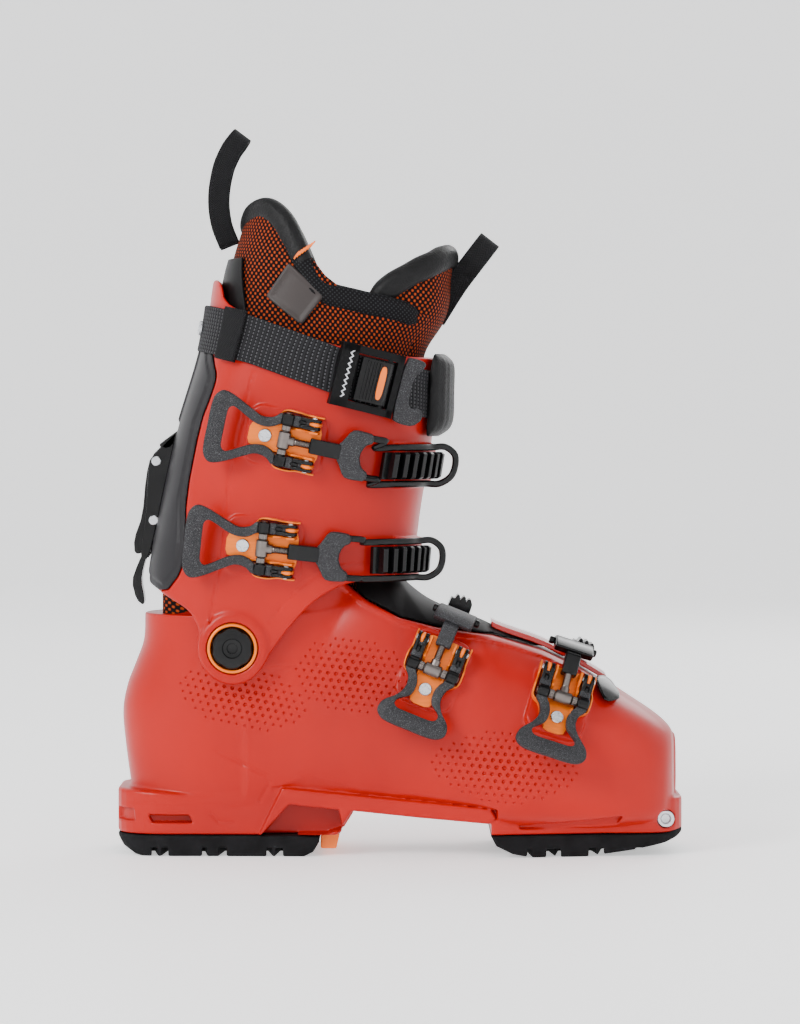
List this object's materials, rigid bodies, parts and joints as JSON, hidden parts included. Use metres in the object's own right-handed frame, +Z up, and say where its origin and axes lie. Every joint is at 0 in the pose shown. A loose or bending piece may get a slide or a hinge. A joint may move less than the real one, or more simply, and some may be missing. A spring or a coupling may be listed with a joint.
{
  "type": "alpine touring boot",
  "caption": "Ski touring boot for the right foot, with a hinged cuff, buckles, a power strap, a walk mechanism, lugged soles and a removable liner",
  "frame": {"origin": "on the ground, under the middle of the boot's bounding box", "axes": "+X to the toe, +Y to the medial side, +Z up"},
  "size_m": [0.309, 0.1392, 0.3956],
  "materials": {
    "shell": "satin orange-red polyurethane",
    "overlap": "glossy red polyurethane",
    "spine": "satin dark grey plastic",
    "black_plastic": "glossy black plastic",
    "gasket": "soft matt black",
    "sole_rubber": "black rubber",
    "orange_plastic": "orange plastic",
    "orange_metal": "orange anodised",
    "steel": "bright steel",
    "lever_metal": "speckled charcoal coating",
    "black_metal": "gloss black",
    "board": "dark grey plastic",
    "liner": "black mesh over orange",
    "webbing": "herringbone webbing",
    "strap": "ribbed webbing",
    "strap_pad": "ribbed black pad"
  },
  "bodies": {
    "shell": {"lower_shell": "shell", "boot_board": "board", "heel_sole": "sole_rubber", "toe_sole": "sole_rubber", "sole_spacer": "orange_plastic", "heel_sole_screw": "steel", "toe_sole_screw": "steel", "toe_insert_left": "steel", "toe_insert_right": "steel", "heel_insert": "steel", "instep_gasket": "gasket", "overlap_strip": "overlap", "strip_clip": "black_plastic", "liner_foot": "liner", "base_1": "orange_metal", "screw_1": "steel", "catch_1": "black_plastic", "base_2": "orange_metal", "screw_2": "steel", "catch_2": "black_plastic"},
    "cuff": {"cuff": "shell", "cuff_spine": "spine", "spoiler": "black_plastic", "pivot_knob": "black_plastic", "pivot_ring": "orange_metal", "pivot_bolt_medial": "steel", "liner_shaft": "liner", "liner_tongue": "liner", "rear_pull_loop": "webbing", "front_pull_loop": "webbing", "power_strap": "strap", "strap_keeper": "black_plastic", "strap_pad": "strap_pad", "strap_rivet": "steel", "strap_frame": "spine", "strap_hook": "lever_metal", "walk_housing": "black_plastic", "walk_lever_pin": "steel", "walk_hook_pin": "steel", "base_3": "orange_metal", "screw_3": "steel", "catch_3": "black_plastic", "base_4": "orange_metal", "screw_4": "steel", "catch_4": "black_plastic"},
    "strap_cam": {"strap_cam": "black_plastic"},
    "walk_lever": {"walk_lever": "black_plastic"},
    "walk_hook": {"walk_hook": "black_metal"},
    "lever_1": {"lever_1": "lever_metal", "lever_pin_1": "steel"},
    "hook_1": {"hook_1": "lever_metal"},
    "lever_2": {"lever_2": "lever_metal", "lever_pin_2": "steel"},
    "hook_2": {"hook_2": "lever_metal"},
    "lever_3": {"lever_3": "lever_metal", "lever_pin_3": "steel"},
    "hook_3": {"hook_3": "lever_metal"},
    "lever_4": {"lever_4": "lever_metal", "lever_pin_4": "steel"},
    "hook_4": {"hook_4": "lever_metal"}
  },
  "joints": [
    {"name": "cuff_flex", "type": "hinge", "parent": "shell", "child": "cuff", "pos_m": [-0.09, 0.00647, 0.114], "axis": [0, -1, 0], "range_deg": [-7, 20], "deforming": ["instep_gasket"]},
    {"name": "lever_1_open", "type": "hinge", "parent": "shell", "child": "lever_1", "pos_m": [0.09059, -0.04031, 0.09961], "axis": [-0.9467, -0.0686, 0.3146], "range_deg": [0, 100]},
    {"name": "hook_1_turn", "type": "hinge", "parent": "lever_1", "child": "hook_1", "pos_m": [0.08721, -0.04721, 0.0879], "axis": [-0.9467, -0.0686, 0.3146], "range_deg": [-100, 0]},
    {"name": "lever_2_open", "type": "hinge", "parent": "shell", "child": "lever_2", "pos_m": [0.02281, -0.04273, 0.11502], "axis": [-0.9259, 0.0906, 0.3667], "range_deg": [0, 100]},
    {"name": "hook_2_turn", "type": "hinge", "parent": "lever_2", "child": "hook_2", "pos_m": [0.01752, -0.04596, 0.10246], "axis": [-0.9259, 0.0906, 0.3667], "range_deg": [-100, 0]},
    {"name": "lever_3_open", "type": "hinge", "parent": "cuff", "child": "lever_3", "pos_m": [-0.05979, -0.054, 0.16648], "axis": [0.1106, -0.0665, 0.9916], "range_deg": [0, 125]},
    {"name": "hook_3_turn", "type": "hinge", "parent": "lever_3", "child": "hook_3", "pos_m": [-0.0737, -0.05346, 0.16806], "axis": [0.1106, -0.0665, 0.9916], "range_deg": [-125, 0]},
    {"name": "lever_4_open", "type": "hinge", "parent": "cuff", "child": "lever_4", "pos_m": [-0.04803, -0.05837, 0.22295], "axis": [0.2068, -0.0716, 0.9758], "range_deg": [0, 125]},
    {"name": "hook_4_turn", "type": "hinge", "parent": "lever_4", "child": "hook_4", "pos_m": [-0.06171, -0.05785, 0.22589], "axis": [0.2068, -0.0716, 0.9758], "range_deg": [-125, 0]},
    {"name": "strap_cam_open", "type": "hinge", "parent": "cuff", "child": "strap_cam", "pos_m": [-0.00803, -0.05519, 0.25543], "axis": [0.245, -0.0106, 0.9695], "range_deg": [0, 75]},
    {"name": "walk_lever_flip", "type": "hinge", "parent": "cuff", "child": "walk_lever", "pos_m": [-0.1335, 0.00647, 0.214], "axis": [0, 1, 0], "range_deg": [0, 110]},
    {"name": "walk_hook_release", "type": "hinge", "parent": "cuff", "child": "walk_hook", "pos_m": [-0.135, 0.00647, 0.1816], "axis": [0, 1, 0], "range_deg": [0, 11]}
  ],
  "couplings": [
    {"joint": "hook_1_turn", "follows": "lever_1_open", "ratio": -1},
    {"joint": "hook_2_turn", "follows": "lever_2_open", "ratio": -1},
    {"joint": "hook_3_turn", "follows": "lever_3_open", "ratio": -1},
    {"joint": "hook_4_turn", "follows": "lever_4_open", "ratio": -1},
    {"joint": "walk_hook_release", "follows": "walk_lever_flip", "ratio": 0.1}
  ]
}
